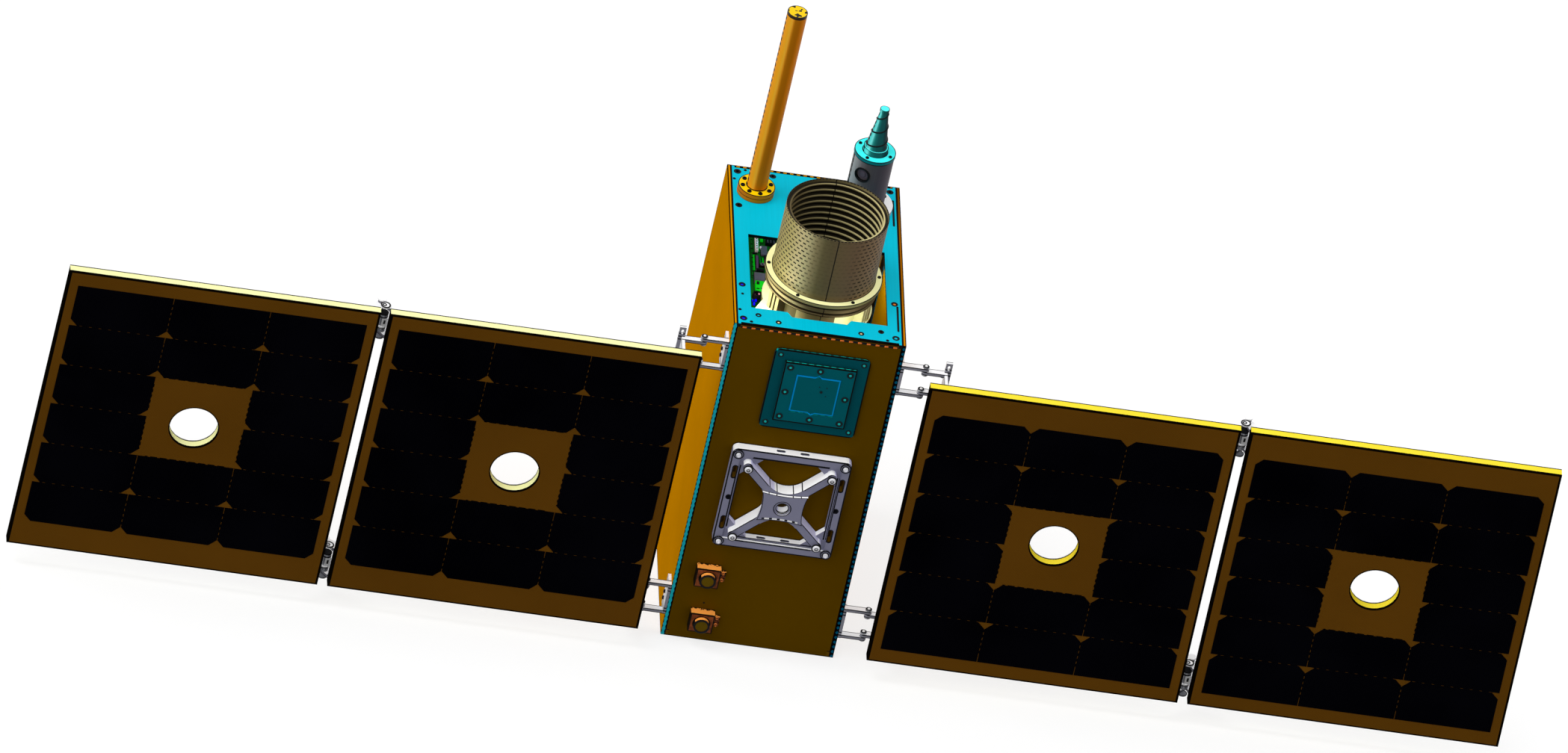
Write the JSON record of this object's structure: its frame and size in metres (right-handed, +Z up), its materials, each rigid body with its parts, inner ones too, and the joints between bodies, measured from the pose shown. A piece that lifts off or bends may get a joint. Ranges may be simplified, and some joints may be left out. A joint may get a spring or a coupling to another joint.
{
  "type": "small imaging satellite with folding solar wings",
  "caption": "Box-shaped small satellite with a baffled camera, mast and cone antennas on its deck, and two spring-deployed folding solar wings.",
  "frame": {"origin": "centre of the flat underside of the body", "axes": "+Z up the body, +X along the right wing, -Y towards the front plate with the patch antenna"},
  "size_m": [1.2458, 0.2438, 0.5105],
  "materials": {
    "frame_paint": "cyan satin paint on the deck, base and corner posts",
    "end_paint": "dark olive brown satin coating",
    "side_paint": "amber satin coating",
    "block_metal": "plain milled aluminium",
    "board_green": "green circuit board laminate",
    "camera_khaki": "khaki satin coating",
    "pale_yellow": "pale yellow satin coating",
    "lens_glass": "coated optical glass",
    "mast_orange": "orange satin paint",
    "mast_yellow": "yellow satin paint",
    "foot_white": "white satin paint",
    "pedestal_grey": "grey satin paint",
    "disc_cyan": "bright cyan satin paint",
    "cone_teal": "teal satin paint",
    "patch_teal": "dark teal satin paint",
    "adapter_grey": "blue grey satin coating",
    "sensor_copper": "copper brown satin coating",
    "sensor_glass": "dark olive coated glass",
    "hinge_white": "white satin coating",
    "pin_steel": "plain turned steel",
    "panel_brown": "brown film over a honeycomb panel, edges yellow",
    "cell_black": "black solar cells under cover glass"
  },
  "bodies": {
    "bus": {"base_plate": "frame_paint", "deck": "frame_paint", "corner_posts": "frame_paint", "front_plate": "end_paint", "back_plate": "end_paint", "left_side_plate": "side_paint", "right_side_plate": "side_paint", "equipment_block": "block_metal", "circuit_boards": "board_green", "camera_barrel": "camera_khaki", "camera_baffle": "camera_khaki", "camera_mount": "pale_yellow", "camera_ring": "pale_yellow", "camera_lens": "lens_glass", "mast_flange": "mast_orange", "mast_tube": "mast_orange", "mast_cap": "mast_yellow", "antenna_foot": "foot_white", "antenna_pedestal": "pedestal_grey", "antenna_disc": "disc_cyan", "antenna_cone": "cone_teal", "patch_plate": "patch_teal", "patch_board": "patch_teal", "adapter_frame": "adapter_grey", "adapter_spider": "adapter_grey", "upper_sensor": "sensor_copper", "lower_sensor": "sensor_copper", "upper_sensor_lens": "sensor_glass", "lower_sensor_lens": "sensor_glass", "right_root_bracket": "hinge_white", "left_root_bracket": "hinge_white", "right_root_pins": "pin_steel", "left_root_pins": "pin_steel"},
    "right_inner_wing": {"right_inner_panel": "panel_brown", "right_inner_cells": "cell_black", "right_root_fork": "hinge_white", "right_mid_hinge_inner": "hinge_white", "right_mid_hinge_pins": "pin_steel"},
    "right_outer_wing": {"right_outer_panel": "panel_brown", "right_outer_cells": "cell_black", "right_mid_hinge_outer": "hinge_white"},
    "left_inner_wing": {"left_inner_panel": "panel_brown", "left_inner_cells": "cell_black", "left_root_fork": "hinge_white", "left_mid_hinge_inner": "hinge_white", "left_mid_hinge_pins": "pin_steel"},
    "left_outer_wing": {"left_outer_panel": "panel_brown", "left_outer_cells": "cell_black", "left_mid_hinge_outer": "hinge_white"}
  },
  "joints": [
    {"name": "right_root_hinge", "type": "hinge", "parent": "bus", "child": "right_inner_wing", "pos_m": [0.0925, -0.1055, 0.1615], "axis": [0, 0, 1], "range_deg": [0, 90], "stiffness_Nm_per_rad": 0.05, "springref_deg": -45.84},
    {"name": "right_mid_hinge", "type": "hinge", "parent": "right_inner_wing", "child": "right_outer_wing", "pos_m": [0.3618, -0.1125, 0.1615], "axis": [0, 0, 1], "range_deg": [0, 180], "stiffness_Nm_per_rad": 0.03, "springref_deg": -45.84},
    {"name": "left_root_hinge", "type": "hinge", "parent": "bus", "child": "left_inner_wing", "pos_m": [-0.0925, -0.1055, 0.1615], "axis": [0, 0, -1], "range_deg": [0, 90], "stiffness_Nm_per_rad": 0.05, "springref_deg": -45.84},
    {"name": "left_mid_hinge", "type": "hinge", "parent": "left_inner_wing", "child": "left_outer_wing", "pos_m": [-0.3618, -0.1125, 0.1615], "axis": [0, 0, -1], "range_deg": [0, 180], "stiffness_Nm_per_rad": 0.03, "springref_deg": -45.84}
  ]
}
